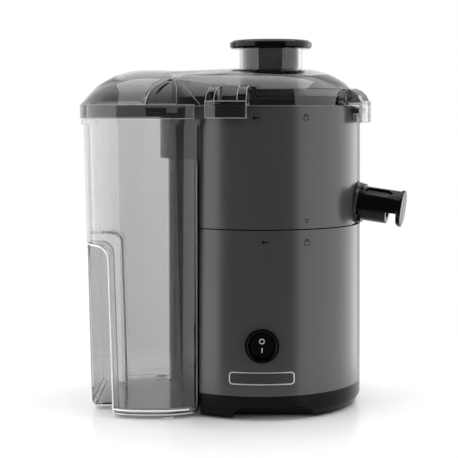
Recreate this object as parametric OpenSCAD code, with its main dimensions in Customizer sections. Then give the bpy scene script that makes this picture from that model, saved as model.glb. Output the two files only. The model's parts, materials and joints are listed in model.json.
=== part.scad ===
// Centrifugal juicer: motor base, filter bowl, clear cover, pulp container and juice spout.
// Millimetres. Z is up, the front with the switch faces -Y, the juice spout points to +X.

/* [Body] */
// Radius of the bowl at its rim
body_r = 84.5; // [84:0.1:85.5]
// How much wider the motor base is at the plinth than the bowl at its rim
flare = 1.9; // [1.5:0.1:2.3]
// Wall of the base and bowl mouldings
body_wall = 2.6; // [2.2:0.1:3]
// Height of the feet under the plinth
foot_h = 1.2; // [1:0.1:1.6]
// Top of the dark plinth
plinth_top = 18.3; // [17:0.1:20]
// Split line between base and bowl
split_z = 152.5; // [151:0.5:154]
// Rim of the bowl under the cover
bowl_rim = 250; // [249:0.5:251]
// Radius of the curved recess that takes the pulp container
recess_r = 146; // [144:0.5:148]
// How deep that recess cuts into the round body
recess_depth = 36.9; // [36:0.1:38]
// Underside of the bowl above the recess
ledge_z = 207; // [206:0.5:209]

/* [Cover and chute] */
// Height of the dome above the bowl rim
dome_rise = 30.5; // [30:0.1:31]
// Step from the bowl's wall in to the dome wall
dome_step = 6; // [5.5:0.1:6.5]
// Wall of the clear cover
cover_wall = 2.2; // [2:0.1:2.5]
// How far the hood reaches past the motor axis
hood_reach = 149; // [148.5:0.5:150]
// Radius of the hood's corners
corner_r = 52; // [50:0.5:54]
// Feed chute centre, measured from the motor axis
chute_x = 9; // [7:0.5:11]
// Outer radius of the feed chute
chute_r = 26.5; // [26:0.1:27]
// Wall of the feed chute
chute_wall = 2.6; // [2.4:0.1:2.8]
// How far the feed chute stands above the dome
chute_rise = 17.5; // [16:0.5:19]
// Radius of the pusher body
pusher_r = 23.2; // [22.5:0.1:23.4]
// Radius of the pusher flange
flange_r = 34.6; // [33:0.1:36]
// Thickness of the pusher flange
flange_t = 7.5; // [7:0.1:8]
// How far the lock lugs reach past the bowl's wall
lug_reach = 9.3; // [8.9:0.1:9.7]
// Half width of a lock lug in degrees
lug_half = 10.5; // [9:0.5:11]

/* [Pulp container] */
// Wall of the clear container
cont_wall = 2.2; // [2:0.1:2.5]
// Rim height of the container
cont_top = 239.5; // [239:0.1:240]
// Air gap between the container and the body
cont_gap = 3; // [2.5:0.1:3.5]
// Top of the finger recesses in the outer corners
grip_top = 137; // [130:0.5:144]

/* [Spout] */
// Turn of the spout from the +X side towards the front, in degrees
spout_turn = 16; // [14:1:18]
// Fall of the spout towards its end, in degrees
spout_fall = 7.4; // [6:0.2:8]
// Radius of the spout tube
spout_r = 14.25; // [13.8:0.05:14.5]
// Reach of the spout from the motor axis along its own line
spout_reach = 123; // [121:0.5:125]

/* [Switch] */
// Height of the switch centre
switch_z = 59.3; // [58:0.1:62]
// Radius of the switch bezel
bezel_r = 13.8; // [13.4:0.1:14.2]
// Rest tilt of the rocker in degrees
rocker_tilt = 8; // [6:1:9]

/* [Drive] */
// Motor shaft radius
shaft_r = 4; // [3.9:0.1:4.1]
// Radius of the armature core
arm_r = 21.8; // [21.5:0.1:22]
// Radius of the commutator
comm_r = 10.5; // [10.2:0.1:10.8]
// Height of the lamination stack
stack_h = 38; // [36:1:40]
// Radius of the cooling fan
fan_r = 35; // [32:0.5:36]

/* [Basket] */
// Radius of the grater disc
grater_r = 38; // [37:0.1:38.5]
// Running gap round the basket rim
basket_gap = 2.5; // [2:0.1:3]
// Number of tooth rows on the grater disc
tooth_rows = 12; // [8:1:14]
// Number of slots round the sieve
sieve_slots = 30; // [20:1:36]

/* [Hidden] */
$fn = 64;
pin_gap = 0.02;
run_gap = 0.06;
free_gap = 0.4;
far = 400;
base_r = body_r + flare;
dome_top = bowl_rim + dome_rise;
dome_r = body_r - dome_step;
chute_top = dome_top + chute_rise;
lug_r = body_r + lug_reach;
seat_r = body_r - 10.1;
well_r = seat_r - 3.2;
rim_band = 3.2;
sieve_r = well_r - basket_gap - rim_band;
recess_x = recess_depth - body_r - recess_r;
recess_y = -41.5;
inner_r = body_r - body_wall;
spout_nx = cos(spout_fall) * cos(spout_turn);
spout_disc_r = 15.25;
spout_max_x = spout_reach * cos(spout_turn) + spout_disc_r * sqrt(1 - spout_nx * spout_nx);
shift_x = (hood_reach - spout_max_x) / 2;
lift = 2;
plinth_low = foot_h - lift;
chamfer_z = 7;
chamfer = 4.4;
cont_low = 1.4;
badge_z = 32.9;
gland_z = 42;
corner_x1 = corner_r - hood_reach;
corner_x2 = corner_x1 + 16;
corner_y = 33;
neck_y = 61;
arch_x = corner_x1 + 5;
neck_in = 12.5 - dome_r;
cut_top = dome_top + 20;
skirt_low = 240;
stack_low = 70;
stack_top = stack_low + stack_h;
bracket_low = 132;
bracket_top = 136;
post_p = 32;
deck_low = split_z - 3;
coupling_top = 197;
grater_z = 200;
sieve_top = 255;
cup_r = 49;
cup_wall = 2.4;
tube_r = 14.6;
tube_bore = 12;
tube_top = 188;
trough_z = 163;
pulp_deck = 241;
panel_r = 17.2;
spout_z = 170;
spout_base = wall_r(spout_z);
switch_out = wall_r(switch_z) - body_r;
gland_out = wall_r(gland_z) - body_r;
pivot_y = 3 - body_r - switch_out;
pin_angle = 178;
pin_radius = body_r - 7.3;
lip_y = 30;
grip_x = 25.4 - hood_reach;
grip_r = 10;
lip_low = 241.4;
rod_low = 141;
spring_low = 183;
spring_high = 200;
lug_angles = [-18.5, 71.5, 161.5];
screw_places = [[45, body_r - 14.5], [135, body_r - 14.5], [200, body_r - 14.5], [-23, body_r - 21.5]];
foot_places = [[-33, 68], [52, 68], [143, 68], [200, 60]];

// Radius of the slightly flared outer wall at a height.
function wall_r(z) = body_r + (base_r - body_r) * (bowl_rim - z) / (bowl_rim - plinth_top);

module at_frame() translate([shift_x, 0, lift]) children();

module round_wall(grow, low, high) translate([0, 0, low])
    cylinder(r1 = wall_r(low) + grow, r2 = wall_r(high) + grow, h = high - low);

module body_cone(low, high) difference() {
    round_wall(0, low, high);
    recess(0, low - 1, high + 1);
}

module polar(angle, radius) rotate([0, 0, angle]) translate([0, -radius, 0]) children();

module disc(radius, low, high) translate([0, 0, low]) cylinder(r = radius, h = high - low);

module recess(grow, low, high) translate([recess_x, recess_y, 0]) disc(recess_r + grow, low, high);

module ring(outer, inner, low, high) difference() {
    disc(outer, low, high);
    disc(inner, low - 1, high + 1);
}

module sector(outer, inner, low, high, middle, half)
    rotate([0, 0, middle - 90 - half])
    rotate_extrude(angle = 2 * half)
    translate([inner, low])
    square([outer - inner, high - low]);

module box(x1, x2, y1, y2, z1, z2) translate([x1, y1, z1]) cube([x2 - x1, y2 - y1, z2 - z1]);

// Rounded rectangle prism that outlines the hood and the container rim.
module oval(radius, low, high) {
    for (x = [corner_x1, corner_x2], y = [-corner_y, corner_y]) translate([x, y, 0]) disc(radius, low, high);
    box(corner_x1, corner_x2, -corner_y - radius, corner_y + radius, low, high);
    box(corner_x1 - radius, corner_x2 + radius, -corner_y, corner_y, low, high);
}

// ---- Food pusher ----
module food_pusher() color([0.05, 0.05, 0.05]) at_frame() translate([chute_x, 0, 0]) difference() {
    union() {
        rotate_extrude() polygon([[0, grater_z + 7.5], [pusher_r - 2, grater_z + 7.5], [pusher_r,
            grater_z + 9.5], [pusher_r, chute_top],
            [flange_r - 1.5, chute_top], [flange_r, chute_top + 1.5], [flange_r, chute_top + flange_t - 2.5],
            [flange_r - 2.5, chute_top + flange_t - 0.6], [flange_r - 8, chute_top + flange_t], [0,
                chute_top + flange_t]]);
    }
    // Hollow inside, with a cross of ribs left standing.
    difference() {
        disc(pusher_r - 2, grater_z + 10, chute_top + flange_t - 3);
        box(-pusher_r, pusher_r, -0.9, 0.9, grater_z + 9, far);
        box(-0.9, 0.9, -pusher_r, pusher_r, grater_z + 9, far);
    }
    // Key groove that runs on the chute rib.
    polar(180, pusher_r) box(-1.6, 1.6, -1.4, 3, grater_z, chute_top - 4);
}

// ---- Cover ----
module dome_profile(inset) polygon([[0, bowl_rim], [dome_r - inset, bowl_rim], [dome_r - inset, bowl_rim + 8],
    [dome_r - 1.1 - inset, dome_top - 17],
    [dome_r - 6.7 - inset, dome_top - 11.3 - 0.4 * inset], [dome_r - 14.7 - inset,
        dome_top - 6.3 - 0.8 * inset], [dome_r - 24 - inset, dome_top - 2.3 - inset],
    [dome_r - 33.5, dome_top - inset], [0, dome_top - inset]]);

module hood_profile(inset) polygon([[0, bowl_rim], [corner_r - inset, bowl_rim], [corner_r - 0.4 - inset,
    bowl_rim + 1], [corner_r - 8.8 - inset, dome_top - 19.7],
    [corner_r - 14 - inset, dome_top - 14.7 - 0.2 * inset], [corner_r - 20 - inset,
        dome_top - 10.7 - 0.5 * inset],
        [corner_r - 28.6 - inset, dome_top - 6.1 - 0.8 * inset],
    [12, dome_top - 2.7 - inset], [4, dome_top - 1.5 - inset], [0, dome_top - 1.3 - inset]]);

module cover_form(inset) {
    // Dome blended into the neck.
    hull() {
        rotate_extrude($fn = 72) dome_profile(inset);
        box(neck_in - 6, neck_in, -neck_y + inset, neck_y - inset, bowl_rim, dome_top - 8.5 - 0.5 * inset);
        box(neck_in - 6, neck_in, -neck_y + 7 + inset, neck_y - 7 - inset, bowl_rim, dome_top - 5.2 - inset);
        box(neck_in - 8, neck_in, -neck_y + 17 + inset, neck_y - 17 - inset, bowl_rim,
            dome_top - 2.5 - inset);
    }
    // Hood over the container, with its arched side recesses.
    difference() {
        hull() for (x = [corner_x1, corner_x2], y = [-corner_y, corner_y]) translate([x, y, 0])
            rotate_extrude($fn = 40) hood_profile(inset);
        for (s = [-1, 1]) arch_cut(inset, s);
    }
    neck(inset);
}

module neck(inset) translate([arch_x - 8, 0, 0]) rotate([90, 0, 90]) linear_extrude(neck_in - arch_x + 8)
    polygon([[-neck_y + inset, bowl_rim], [neck_y - inset, bowl_rim], [neck_y - inset,
        dome_top - 8.7 - inset],
        [neck_y - 7 - inset, dome_top - 5.3 - inset], [neck_y - 17 - inset, dome_top - 2.6 - inset],
        [neck_y - 25, dome_top - 1.6 - inset], [25 - neck_y, dome_top - 1.6 - inset],
        [17 - neck_y + inset, dome_top - 2.6 - inset], [7 - neck_y + inset, dome_top - 5.3 - inset],
        [-neck_y + inset, dome_top - 8.7 - inset]]);

module arch_cut(inset, side) translate([0, side > 0 ? neck_y - inset + 60 : -neck_y + inset, 0])
    rotate([90, 0, 0]) linear_extrude(60)
    polygon([[arch_x - inset, bowl_rim - 50], [arch_x - inset, bowl_rim + 4],
        [arch_x + 2.4 - inset, dome_top - 19.9], [arch_x + 7 - inset, dome_top - 14.7 + 0.5 * inset],
        [arch_x + 13, dome_top - 10.7 + inset], [arch_x + 20, dome_top - 8.3 + inset],
        [arch_x + 26, dome_top - 7.5 + inset], [arch_x + 32, cut_top], [40, cut_top], [40, bowl_rim - 50]]);

module lug(angle, low, high) {
    sector(lug_r, lug_r - 2.4, low, bowl_rim + 4, angle, lug_half);
    sector(lug_r - 1, dome_r - 1, bowl_rim + 0.6, bowl_rim + 2.8, angle, lug_half);
    sector(lug_r - 1, body_r + 2.1, bowl_rim - 9, bowl_rim - 6.6, angle, lug_half);
    for (a = [angle - lug_half + 2.3, angle + lug_half - 2.3]) rotate([0, 0, a]) rotate([90, 0, -90])
        translate([0, 0, -3.7]) linear_extrude(7.4)
        polygon([[dome_r - 1.5, bowl_rim + 0.6], [dome_r - 1.5, high], [dome_r + 3, high + 0.4],
            [lug_r - 7.3, high - 1.6], [lug_r - 3.4, high - 5.6], [lug_r - 1, high - 10.8],
            [lug_r - 0.2, bowl_rim + 3], [lug_r - 0.2, bowl_rim + 0.6]]);
}

module cover() color([0.62, 0.6, 0.6, 0.45]) at_frame() difference() {
    union() {
        difference() {
            union() {
                cover_form(0);
                // Skirt below the rim and its ledges, outside the round of the bowl.
                difference() {
                    oval(corner_r, skirt_low, bowl_rim + 1);
                    disc(body_r + 1.2, skirt_low - 1, bowl_rim + 0.01);
                    box(-54, 20, -far, far, skirt_low - 1, far);
                }
            }
            cover_form(cover_wall);
            // Open underside of hood and neck.
            difference() {
                oval(corner_r - cover_wall, skirt_low - 1, bowl_rim + 0.5);
                for (s = [-1, 1]) box(arch_x - cover_wall, 60, s > 0 ? neck_y - cover_wall : -far,
                    s > 0 ? far : -neck_y + cover_wall, bowl_rim - 1.2, far);
            }
        }
        // Feed chute, down to just above the grater.
        translate([chute_x, 0, 0]) ring(chute_r, chute_r - 2 * chute_wall, grater_z + 6, dome_top - 1);
        translate([chute_x, 0, 0]) ring(chute_r, chute_r - chute_wall, dome_top - 4, chute_top);
        translate([chute_x, 0, 0]) ring(chute_r + 6, chute_r - chute_wall, dome_top - 2.2, dome_top);
        lug(lug_angles[0], bowl_rim - 6.6, bowl_rim + 15.8);
        lug(lug_angles[1], bowl_rim - 13.5, bowl_rim + 14);
        lug(lug_angles[2], bowl_rim - 6.6, bowl_rim + 15.8);
        for (a = lug_angles) sector(lug_r, lug_r - 2.4, bowl_rim - 9.4, bowl_rim - 4, a, lug_half);
        // Centring lip inside the bowl rim.
        sector(seat_r - 0.8, seat_r - 2.6, bowl_rim - 5, bowl_rim + 6, 90, 118);
        sector(dome_r - 1.5, seat_r - 2.6, bowl_rim + 2, bowl_rim + 4, 90, 118);
    }
    translate([chute_x, 0, 0]) disc(chute_r - chute_wall, grater_z, far);
}

// ---- Basket ----
module grater_disc() color([0.75, 0.75, 0.76]) at_frame() {
    difference() {
        union() {
            disc(grater_r, grater_z, grater_z + 1);
            ring(grater_r, grater_r - 1, grater_z, grater_z + 2.2);
            disc(7, grater_z, grater_z + 2);
        }
        for (i = [0 : tooth_rows - 1]) rotate([0, 0, i * 360 / tooth_rows + 8]) for (r = [16 : 8 : 32])
            translate([r, 0, grater_z - 1]) cylinder(r = 1.1, h = 4, $fn = 6);
    }
    for (i = [0 : tooth_rows - 1]) rotate([0, 0, i * 360 / tooth_rows]) for (r = [12 : 4 : 34])
        translate([r, 0, grater_z + 1]) cylinder(r1 = 0.9, r2 = 0.15, h = 2, $fn = 4);
}

module filter_basket() color([0.7, 0.7, 0.72]) at_frame() difference() {
    rotate_extrude() polygon([[grater_r + 0.1, grater_z], [40.2, grater_z], [sieve_r, sieve_top],
        [sieve_r - 0.9, sieve_top], [39.4, grater_z + 1.2], [grater_r + 0.1, grater_z + 1.2]]);
    for (i = [0 : sieve_slots - 1]) rotate([0, 0, i * 360 / sieve_slots]) {
        box(42, 53, -0.7, 0.7, grater_z + 7, grater_z + 20);
        box(52, 64, -0.9, 0.9, grater_z + 24, grater_z + 38);
    }
}

module basket_rim() color([0.12, 0.12, 0.12]) at_frame() rotate_extrude()
    polygon([[sieve_r + pin_gap, sieve_top - 4], [sieve_r + 2.6, sieve_top - 4], [sieve_r + rim_band,
        sieve_top - 2], [sieve_r + rim_band, sieve_top + 2.2],
        [sieve_r + 2.4, sieve_top + 3], [sieve_r, sieve_top + 3], [sieve_r - 1.2, sieve_top + 1.4],
            [sieve_r - 1.2, sieve_top], [sieve_r + pin_gap, sieve_top]]);

module basket_hub() color([0.15, 0.15, 0.15]) at_frame() difference() {
    union() {
        disc(40.2, coupling_top, grater_z);
        ring(40.2, 38, 193.5, coupling_top);
        disc(13, 189.5, coupling_top);
        ring(19.5, 17.5, 178, coupling_top);
        for (a = [0 : 60 : 300]) rotate([0, 0, a]) box(19, 39, -1.1, 1.1, 194.5, coupling_top);
    }
    translate([0, 0, 180]) cylinder(r = 8.4, h = coupling_top - 180, $fn = 6);
}

// ---- Bowl ----
module body_round(grow, low, high) difference() {
    disc(body_r + grow, low, high);
    recess(-grow, low - 1, high + 1);
}

module on_spout() rotate([0, 0, -spout_turn]) translate([spout_base, 0, spout_z]) rotate([0, spout_fall, 0])
    rotate([0, 90, 0]) children();

module cup_body() rotate_extrude()
    polygon([[tube_bore, trough_z - 3], [cup_r, trough_z - 3], [cup_r, ledge_z + 1], [seat_r - 1.8,
        pulp_deck - 4], [seat_r + 1.6,
        pulp_deck], [0, pulp_deck],
        [0, pulp_deck - 1], [tube_bore, pulp_deck - 1]]);

module bowl() color([0.3, 0.29, 0.29]) at_frame() {
    bowl_shell();
    // Lip that carries the pulp over the rim of the container.
    box(-body_r - 10.5, 3.5 - body_r, -lip_y, lip_y, lip_low, lip_low + 2.6);
    for (y = [-lip_y, lip_y - 2.4]) box(-body_r - 10.5, 3.5 - body_r, y, y + 2.4, lip_low, lip_low + 7);
}

module bowl_shell() difference() {
    union() {
        body_cone(split_z, ledge_z);
        round_wall(0, ledge_z, bowl_rim - 1);
        disc(body_r - 0.8, bowl_rim - 1, bowl_rim);
        for (a = lug_angles) sector(lug_r - 4, body_r - 1, bowl_rim - 5.8, bowl_rim - 1.8, a, lug_half - 1.5);
        on_spout() translate([0, 0, -2]) cylinder(r = 10.4, h = 18);
        on_spout() translate([0, 0, -1]) cylinder(r = 16.8, h = 2.6);
    }
    // Space between the outer wall and the cup, open below.
    difference() {
        union() {
            body_round(-body_wall, split_z - 1, ledge_z + body_wall);
            disc(inner_r, ledge_z + body_wall, pulp_deck - 2.4);
        }
        cup_body();
        on_spout() translate([0, 0, -45]) cylinder(r = 12.6, h = 50);
        polar(pin_angle, pin_radius) disc(5.4, spring_low - 5, spring_low);
        polar(pin_angle, pin_radius) disc(5.4, bowl_rim - 24, bowl_rim);
        polar(pin_angle, pin_radius) box(-3, 3, -8, 0, spring_low - 5, spring_low);
    }
    // Pulp channel round the basket, and the cup itself.
    ring(inner_r, seat_r - 3.4, pulp_deck, bowl_rim - 2.4);
    ring(seat_r, seat_r - 3.4, bowl_rim - 3, bowl_rim + 1);
    rotate_extrude() polygon([[tube_r, trough_z], [cup_r - cup_wall, trough_z], [cup_r - cup_wall,
        ledge_z + 2], [well_r, pulp_deck - 2.6],
        [well_r, bowl_rim - 2.4], [0, bowl_rim + 1], [0, tube_top], [tube_r, tube_top]]);
    disc(well_r, pulp_deck - 2, bowl_rim + 1);
    disc(tube_bore, split_z - 1, tube_top + 1);
    // Pulp outlet on the container side.
    box(-far, -52, -50, 50, pulp_deck + 3, bowl_rim + 1);
    // Arched panel behind the spout, sunk into the wall.
    difference() {
        intersection() {
            ring(body_r + 3, body_r - 0.6, split_z - 1, 195);
            rotate([0, 0, -spout_turn]) union() {
                translate([body_r - 24.5, 0, 170.6]) rotate([0, 90, 0]) cylinder(r = panel_r, h = 40);
                box(body_r - 24.5, body_r + 15.5, -panel_r, panel_r, split_z - 1, 170.6);
            }
        }
        on_spout() translate([0, 0, -8]) cylinder(r = 16.8, h = 20);
    }
    // Juice passage.
    on_spout() translate([0, 0, -44]) cylinder(r = 8.4, h = 80);
    on_spout() translate([0, 0, 9]) rotate_extrude() translate([9, 0]) square([3, 2.6]);
    // Way through for the lock rod.
    polar(pin_angle, pin_radius) disc(2.4, split_z - 1, bowl_rim + 1);
}

// ---- Spout ----
module spout() color([0.04, 0.04, 0.04]) at_frame() on_spout() {
    length = (spout_reach - spout_base) / cos(spout_fall);
    difference() {
        union() {
            translate([0, 0, 2.6]) cylinder(r = 16.2, h = 2.6);
            translate([0, 0, 3]) cylinder(r = spout_r, h = length - 5);
            translate([0, 0, length - 2.4]) cylinder(r = spout_disc_r, h = 2.4);
        }
        translate([0, 0, 1]) cylinder(r = 10.4 + run_gap, h = 15.2);
        translate([0, 0, 10]) cylinder(r = 9.6, h = length - 13);
        // Outlet on the underside.
        translate([4, -spout_r - 5, length - 12.6]) cube([20, 2 * spout_r + 10, 8.8]);
        // Finger recess, turned a little to the front.
        rotate([0, 0, 34]) translate([-spout_r - 1.4, 0, 8.6]) rotate([0, 90, 0]) linear_extrude(4)
            polygon([[0, -4.5], [-16, -4.5], [-21, 0], [-16, 4.5], [0, 4.5], [3, 0]]);
    }
}

module spout_oring() color([0.08, 0.08, 0.08]) at_frame() on_spout() translate([0, 0, 9 + pin_gap])
    rotate_extrude() translate([9 + pin_gap, 0]) square([1.4 - pin_gap, 2.5]);

// ---- Lock rod ----
module lock_rod() color([0.8, 0.8, 0.78]) at_frame() polar(pin_angle, pin_radius) {
    disc(2, rod_low, bowl_rim);
    disc(3.8, spring_high, spring_high + 2);
}

module lock_spring() color([0.6, 0.6, 0.62]) at_frame() polar(pin_angle, pin_radius) {
    turns = 5;
    steps = 14;
    wire = 0.4;
    coil = 3;
    count = turns * steps;
    rise = spring_high - spring_low - 2 * wire;
    points = [for (i = [0 : count], k = [0 : 5]) let (a = 360 * i / steps, r = coil + wire * cos(60 * k))
        [r * cos(a), r * sin(a), spring_low + wire + rise * i / count + wire * sin(60 * k)]];
    sides = [for (i = [0 : count - 1], k = [0 : 5]) let (n = (k + 1) % 6)
        [[i * 6 + k, i * 6 + 6 + k, i * 6 + 6 + n], [i * 6 + k, i * 6 + 6 + n, i * 6 + n]]];
    ends = [[0, 1, 2, 3, 4, 5], [for (k = [5 : -1 : 0]) count * 6 + k]];
    polyhedron(points, concat([for (q = sides) q[0]], [for (q = sides) q[1]], ends));
}

// ---- Pulp container ----
module cont_form(inset, low) hull() {
    for (x = [corner_x1, corner_x2], s = [-1, 1]) {
        translate([x, s * (corner_y + 4), 0]) rotate_extrude($fn = 48) polygon([[0, low],
            [corner_r - 11 - inset, low],
            [corner_r - 7.6 - inset, low + 4], [0, low + 4]]);
        translate([x, s * corner_y, 0]) rotate_extrude($fn = 48) translate([0, cont_top - 4])
            square([corner_r - 3 - inset, 4]);
    }
}

// Finger recess in each outer corner, open at the floor, with a rounded head.
module grip_cut(grow) for (s = [-1, 1]) translate([0, s > 0 ? far : -corner_y - 11 + grow, 0])
    rotate([90, 0, 0])
    linear_extrude(far - corner_y - 11 + grow) polygon(concat([[-far, -10], [grip_x + 3.6 + grow, -10]],
        [for (a = [0 : 15 : 90]) [grip_x - grip_r + grip_r * cos(a) + grow, grip_top - grip_r +
            grip_r * sin(a) + grow]],
        [[-far, grip_top + grow]]));

module pulp_container() color([0.6, 0.58, 0.58, 0.45]) at_frame() {
    difference() {
        union() {
            difference() {
                cont_form(0, cont_low);
                grip_cut(0);
            }
            oval(corner_r - 1, cont_top - 4.4, cont_top);
            for (p = [[27 - hood_reach, -35], [27 - hood_reach, 35], [corner_x2 + 5, -70],
                [corner_x2 - 7, 70]]) translate([p[0], p[1], 0])
                disc(4.5, -lift, 5);
        }
        difference() {
            cont_form(cont_wall, cont_low + cont_wall);
            grip_cut(cont_wall);
            body_round(cont_gap + cont_wall, 0, ledge_z - 2);
        }
        oval(corner_r - 2.4 - cont_wall, cont_top - 3.4, cont_top + 1);
        difference() {
            disc(body_r + cont_gap, -5, far);
            recess(-cont_gap, -6, ledge_z - 2);
        }
    }
}

// ---- Base housing ----
module housing() color([0.3, 0.29, 0.29]) at_frame() difference() {
    union() {
        difference() {
            body_cone(plinth_top, split_z);
            body_round(-body_wall, plinth_top - 1, deck_low);
        }
        // Ring that centres the bowl.
        difference() {
            body_round(-body_wall - 0.6, split_z - 1, split_z + 4);
            body_round(-body_wall - 2.8, split_z - 2, split_z + 5);
        }
        disc(19, split_z - 1, split_z + 4);
        for (x = [-post_p, post_p], y = [-post_p, post_p]) translate([x, y, 0]) disc(6, 141, deck_low + 1);
        for (p = screw_places) polar(p[0], p[1]) disc(5, plinth_top, 60);
        for (p = screw_places) polar(p[0], p[1]) box(-1.2, 1.2, -body_r + p[1] + 1.5, 0, plinth_top, 58);
        polar(pin_angle, pin_radius) disc(6, 140, deck_low + 1);
    }
    ring(body_r + 3, body_r - 0.2, split_z - 0.9, split_z + 0.1);
    disc(14, deck_low - 1, split_z + 5);
    for (x = [-post_p, post_p], y = [-post_p, post_p]) translate([x, y, 0]) disc(1.9, 140, deck_low);
    for (p = screw_places) polar(p[0], p[1]) disc(1.8, plinth_top - 1, 48);
    polar(pin_angle, pin_radius) disc(3, 130, split_z + 5);
    // Switch opening.
    translate([0, -body_r + 10, switch_z]) rotate([90, 0, 0]) cylinder(r = 12, h = 20);
    // Cord inlet at the back.
    translate([0, body_r - 10, gland_z]) rotate([-90, 0, 0]) cylinder(r = 6.5, h = 20);
}

module plinth_form() difference() {
    rotate_extrude() polygon([[0, plinth_low], [base_r - chamfer, plinth_low], [base_r, chamfer_z],
        [base_r, plinth_top], [0, plinth_top]]);
    recess(0, plinth_low - 1, plinth_top + 1);
}

module plinth_hollow() difference() {
    rotate_extrude() polygon([[0, plinth_low + 2.6], [inner_r - 3.4, plinth_low + 2.6], [inner_r,
        chamfer_z + 2], [inner_r, plinth_top + 1], [0, plinth_top + 1]]);
    recess(body_wall, plinth_low, plinth_top + 2);
}

module plinth() color([0.05, 0.05, 0.05]) at_frame() difference() {
    union() {
        difference() {
            plinth_form();
            plinth_hollow();
        }
        for (p = screw_places) polar(p[0], p[1]) intersection() {
            disc(5.6, plinth_low, plinth_top);
            polar(-p[0], -p[1]) disc(body_r - 5.5, -5, far);
        }
        // Pocket walls behind the front arch.
        intersection() {
            arch_block(2.2, 18.2);
            plinth_form();
        }
    }
    arch_block(0, 16);
    for (p = screw_places) polar(p[0], p[1]) disc(2.3, -5, far);
    for (p = screw_places) polar(p[0], p[1]) disc(4, -5, plinth_top - 12);
    for (p = foot_places) polar(p[0], p[1]) disc(3.4, -5, plinth_low + 2);
    // Air slots under the fan.
    for (a = [0 : 24 : 336]) rotate([0, 0, a]) box(16, 34, -2, 2, -5, plinth_low + 4);
    for (a = [12 : 24 : 348]) rotate([0, 0, a]) box(39, 47, -2, 2, -5, plinth_low + 4);
}

module arch_block(grow, depth) translate([9.5, 24.5 - body_r, 0]) intersection() {
    translate([-60, -40, plinth_low - 1]) cube([120, 17 + depth, 30]);
    translate([0, 20, 0]) rotate([90, 0, 0]) linear_extrude(80)
        polygon([[-33.5 - grow, -3], [-31.5 - grow, 5], [-26 - grow, 8.2 + grow], [-21, 9.6 + grow], [21,
            9.6 + grow],
            [26 + grow, 8.2 + grow], [31.5 + grow, 5], [33.5 + grow, -3]]);
}

module feet() color([0.1, 0.1, 0.1]) at_frame() for (p = foot_places) polar(p[0], p[1]) {
    disc(6.5, -lift, plinth_low);
    disc(3.4 - pin_gap, plinth_low - 0.5, plinth_low + 2);
}

module base_screws() color([0.7, 0.7, 0.7]) at_frame() for (p = screw_places) polar(p[0], p[1]) difference() {
    union() {
        disc(3.7, plinth_top - 14.4, plinth_top - 12);
        disc(1.8 - pin_gap, plinth_top - 12.5, 46);
    }
    box(-2.6, 2.6, -0.5, 0.5, -5, plinth_top - 13.4);
    box(-0.5, 0.5, -2.6, 2.6, -5, plinth_top - 13.4);
}

// ---- Switch ----
module on_front(z) translate([0, 0, z]) rotate([90, 0, 0]) children();

module switch_at() on_front(switch_z) translate([0, 0, switch_out]) children();

module switch_bezel() color([0.06, 0.06, 0.06]) at_frame() difference() {
    union() {
        difference() {
            switch_at() translate([0, 0, body_r - 4.5]) cylinder(r = bezel_r, h = 6.6);
            round_wall(0, plinth_top, split_z);
        }
        switch_at() translate([0, 0, body_r - 6.5]) cylinder(r = 12 - pin_gap, h = 8);
    }
    switch_at() translate([0, 0, body_r - 14.5]) cylinder(r = 10.8, h = 30);
    switch_at() translate([0, 0, body_r + 0.9]) cylinder(r1 = 10.8, r2 = 12.2, h = 1.4);
}

module switch_rocker() color([0.05, 0.05, 0.05]) at_frame() translate([0, pivot_y, switch_z])
    rotate([-rocker_tilt, 0, 0])
    union() {
        intersection() {
            sphere(r = 10.4);
            rotate([90, 0, 90]) translate([0, 0, -12]) linear_extrude(24)
                polygon([[3, -9], [3, 9], [-4.9, 9.6], [-3.5, 0], [-4.9, -9.6]]);
        }
        rotate([0, 90, 0]) translate([0, 0, -7]) cylinder(r = 3.3, h = 14);
    }

module switch_body() color([0.1, 0.1, 0.1]) at_frame() difference() {
    union() {
        switch_at() translate([0, 0, body_r - 28.5]) cylinder(r = 11.6, h = 22);
        for (x = [-5, 5]) box(x - 0.4, x + 0.4, 28 - body_r - switch_out, 36.5 - body_r - switch_out,
            switch_z - 3, switch_z + 3);
    }
    switch_at() translate([0, 0, body_r - 18.5]) cylinder(r = 10.9, h = 20);
}

module badge_plate() color([0.5, 0.5, 0.5]) at_frame() difference() {
    intersection() {
        difference() {
            round_wall(0.5, plinth_top, 60);
            round_wall(0, plinth_top, 60);
        }
        badge_outline(0);
    }
    intersection() {
        difference() {
            round_wall(1, plinth_top, 60);
            round_wall(0.25, plinth_top, 60);
        }
        badge_outline(-0.9);
    }
}

module badge_outline(grow) on_front(badge_z) linear_extrude(far) {
    translate([-23.4, -5.2 - grow]) square([46.8, 10.4 + 2 * grow]);
    translate([-26.4 - grow, -2.2]) square([52.8 + 2 * grow, 4.4]);
    for (x = [-23.4, 23.4], y = [-2.2, 2.2]) translate([x, y]) circle(r = 3 + grow);
}

// ---- Motor ----
module motor_stack() color([0.45, 0.45, 0.47]) at_frame() difference() {
    box(-38, 38, -38, 38, stack_low, stack_top);
    disc(arm_r + 0.8, 0, far);
    for (a = [0, 180]) sector(35, 10, stack_low - 1, stack_top + 1, a, 36);
    for (x = [-post_p, post_p], y = [-post_p, post_p]) translate([x, y, 0]) disc(2.3, 0, far);
}

module field_coils() color([0.7, 0.38, 0.2]) at_frame() for (m = [90, 270]) {
    sector(34, 24.5, stack_low - 9, stack_low - 0.5, m, 84);
    sector(34, 24.5, stack_top + 0.5, stack_top + 8, m, 84);
    for (a = [m - 70, m + 70]) sector(33.6, 24.9, stack_low - 8, stack_top + 7, a, 13);
}

module armature() color([0.5, 0.5, 0.52]) at_frame() difference() {
    disc(arm_r, stack_low, stack_top);
    disc(shaft_r + pin_gap, 0, far);
    for (a = [0 : 30 : 330]) rotate([0, 0, a]) box(15, 25, -1.6, 1.6, 0, far);
}

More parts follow.
